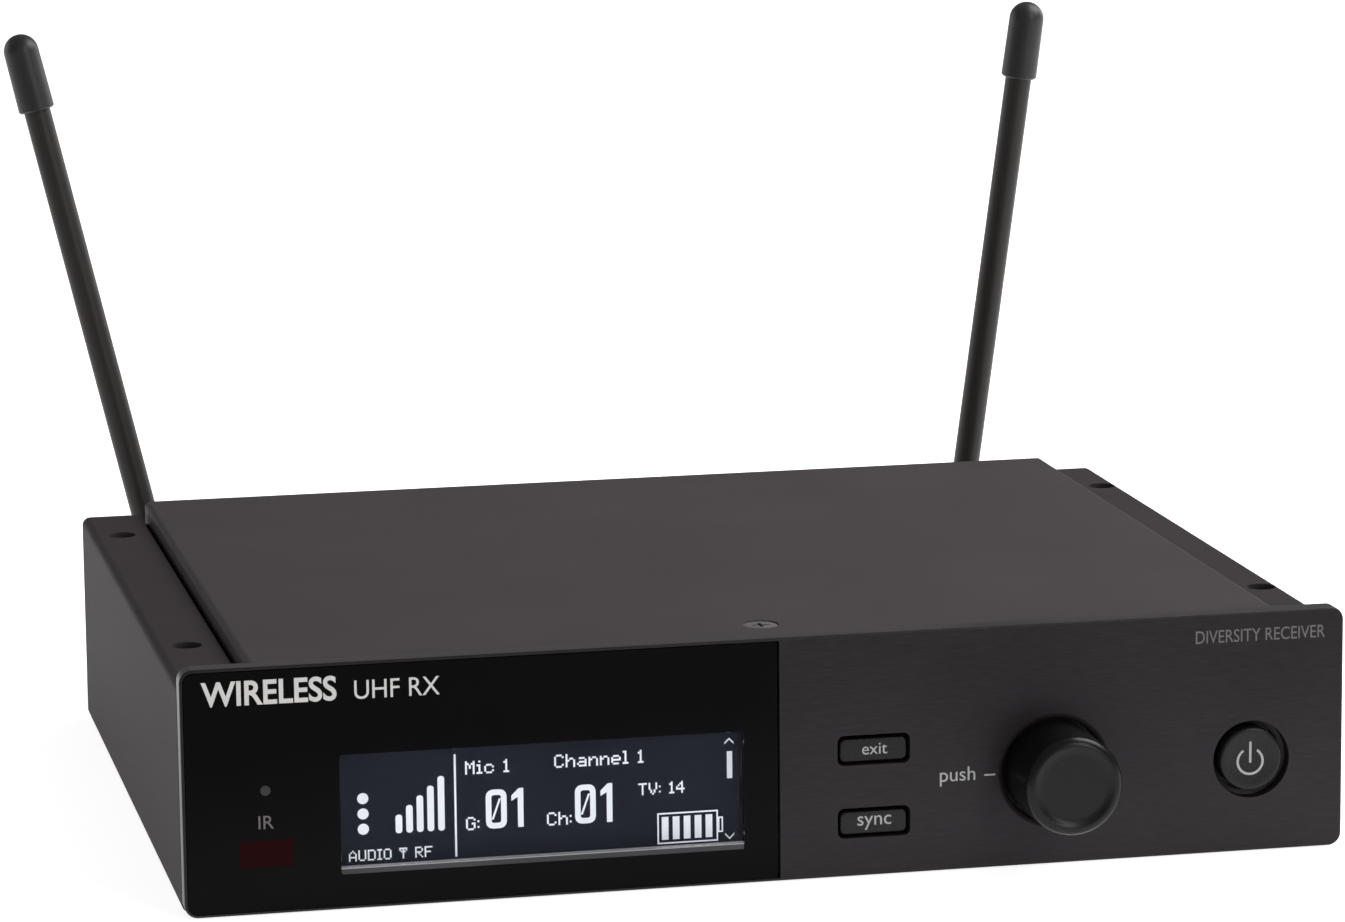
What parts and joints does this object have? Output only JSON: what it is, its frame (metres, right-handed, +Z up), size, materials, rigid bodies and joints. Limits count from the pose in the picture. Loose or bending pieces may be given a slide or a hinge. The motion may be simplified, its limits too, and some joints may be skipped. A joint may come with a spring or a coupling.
{
  "type": "half-rack wireless microphone receiver",
  "caption": "Low rectangular half-rack radio receiver with a glossy display window, push buttons, a turn-and-push knob, rear sockets and folding whip antennas.",
  "frame": {"origin": "centre of the housing's footprint, on the surface that the unit stands on", "axes": "+X to the right seen from the front, +Y from the front panel to the rear panel, +Z up"},
  "size_m": [0.2052, 0.2072, 0.1269],
  "materials": {
    "powder_coat": "warm dark grey powder coat, fine orange-peel texture",
    "panel_black": "black anodised, fine satin grain",
    "lens_black": "high gloss, back-printed black",
    "screen": "dark blue-grey display glass",
    "black_plastic": "fine matte",
    "knob_black": "soft-touch black",
    "infrared_red": "dark red infrared filter",
    "clear_window": "clear",
    "circuit_board": "green solder mask",
    "nickel": "nickel plated, satin",
    "black_steel": "black oxide",
    "cable_grey": "flat cable, matte",
    "antenna_black": "fine matte moulded",
    "antenna_cap": "soft matte"
  },
  "bodies": {
    "housing": {"antenna_jack_left": "nickel", "antenna_jack_right": "nickel", "antenna_nut_left": "nickel", "antenna_nut_right": "nickel", "chassis_tray": "powder_coat", "cover_screw_front": "black_steel", "cover_screw_rear_left": "black_steel", "cover_screw_rear_right": "black_steel", "dc_jack": "black_plastic", "display_window": "lens_black", "encoder_body": "nickel", "encoder_nut": "nickel", "ethernet_jack": "nickel", "exit_switch": "black_plastic", "front_board": "circuit_board", "front_panel": "panel_black", "infrared_window": "infrared_red", "lcd_frame": "black_plastic", "lcd_panel": "screen", "level_switch_body": "nickel", "light_sensor": "clear_window", "main_board": "circuit_board", "phone_jack": "black_plastic", "phone_jack_bush": "nickel", "phone_jack_nut": "nickel", "power_switch": "black_plastic", "radio_shield": "nickel", "rear_panel": "powder_coat", "ribbon_cable": "cable_grey", "standoff_1": "nickel", "standoff_2": "nickel", "standoff_3": "nickel", "standoff_4": "nickel", "sync_switch": "black_plastic", "top_cover": "powder_coat", "xlr_insert": "black_plastic", "xlr_pin_1": "nickel", "xlr_pin_2": "nickel", "xlr_pin_3": "nickel", "xlr_screw_lower": "black_steel", "xlr_screw_upper": "black_steel", "xlr_shell": "black_steel"},
    "rotor": {"encoder_rotor": "black_plastic"},
    "knob": {"control_knob": "knob_black", "encoder_shaft": "nickel"},
    "exit_key": {"exit_button": "black_plastic"},
    "sync_key": {"sync_button": "black_plastic"},
    "power_key": {"power_button": "black_plastic"},
    "level_slider": {"level_switch_slider": "black_plastic"},
    "collar_left": {"antenna_collar_left": "nickel"},
    "base_left": {"antenna_base_left": "antenna_black", "antenna_pin_left": "nickel"},
    "rod_left": {"antenna_rod_left": "antenna_black", "antenna_cap_left": "antenna_cap"},
    "collar_right": {"antenna_collar_right": "nickel"},
    "base_right": {"antenna_base_right": "antenna_black", "antenna_pin_right": "nickel"},
    "rod_right": {"antenna_rod_right": "antenna_black", "antenna_cap_right": "antenna_cap"}
  },
  "joints": [
    {"name": "knob_turn", "type": "hinge", "parent": "housing", "child": "rotor", "pos_m": [0.04805, -0.075, 0.016], "axis": [0, 1, 0], "continuous": true},
    {"name": "knob_press", "type": "slide", "parent": "rotor", "child": "knob", "axis": [0, 1, 0], "range_m": [0, 0.0005], "stiffness_N_per_m": 4000},
    {"name": "exit_press", "type": "slide", "parent": "housing", "child": "exit_key", "axis": [0, 1, 0], "range_m": [0, 0.00035], "stiffness_N_per_m": 4000},
    {"name": "sync_press", "type": "slide", "parent": "housing", "child": "sync_key", "axis": [0, 1, 0], "range_m": [0, 0.00035], "stiffness_N_per_m": 4000},
    {"name": "power_press", "type": "slide", "parent": "housing", "child": "power_key", "axis": [0, 1, 0], "range_m": [0, 0.00035], "stiffness_N_per_m": 4000},
    {"name": "level_slide", "type": "slide", "parent": "housing", "child": "level_slider", "axis": [1, 0, 0], "range_m": [0, 0.003]},
    {"name": "collar_turn_left", "type": "hinge", "parent": "housing", "child": "collar_left", "pos_m": [-0.0805, 0.083, 0.021], "axis": [0, 1, 0], "range_deg": [0, 90]},
    {"name": "antenna_swivel_left", "type": "hinge", "parent": "housing", "child": "base_left", "pos_m": [-0.0805, 0.075, 0.021], "axis": [0, 1, 0], "range_deg": [-77.2, 102.8]},
    {"name": "antenna_fold_left", "type": "hinge", "parent": "base_left", "child": "rod_left", "pos_m": [-0.0805, 0.1096, 0.021], "axis": [-0.9751, 0, -0.2215], "range_deg": [-3.8, 86.2]},
    {"name": "collar_turn_right", "type": "hinge", "parent": "housing", "child": "collar_right", "pos_m": [0.08075, 0.083, 0.021], "axis": [0, 1, 0], "range_deg": [0, 90]},
    {"name": "antenna_swivel_right", "type": "hinge", "parent": "housing", "child": "base_right", "pos_m": [0.08075, 0.075, 0.021], "axis": [0, 1, 0], "range_deg": [-96.5, 83.5]},
    {"name": "antenna_fold_right", "type": "hinge", "parent": "base_right", "child": "rod_right", "pos_m": [0.08075, 0.1096, 0.021], "axis": [-0.9936, 0, 0.1132], "range_deg": [0, 94.8]}
  ]
}
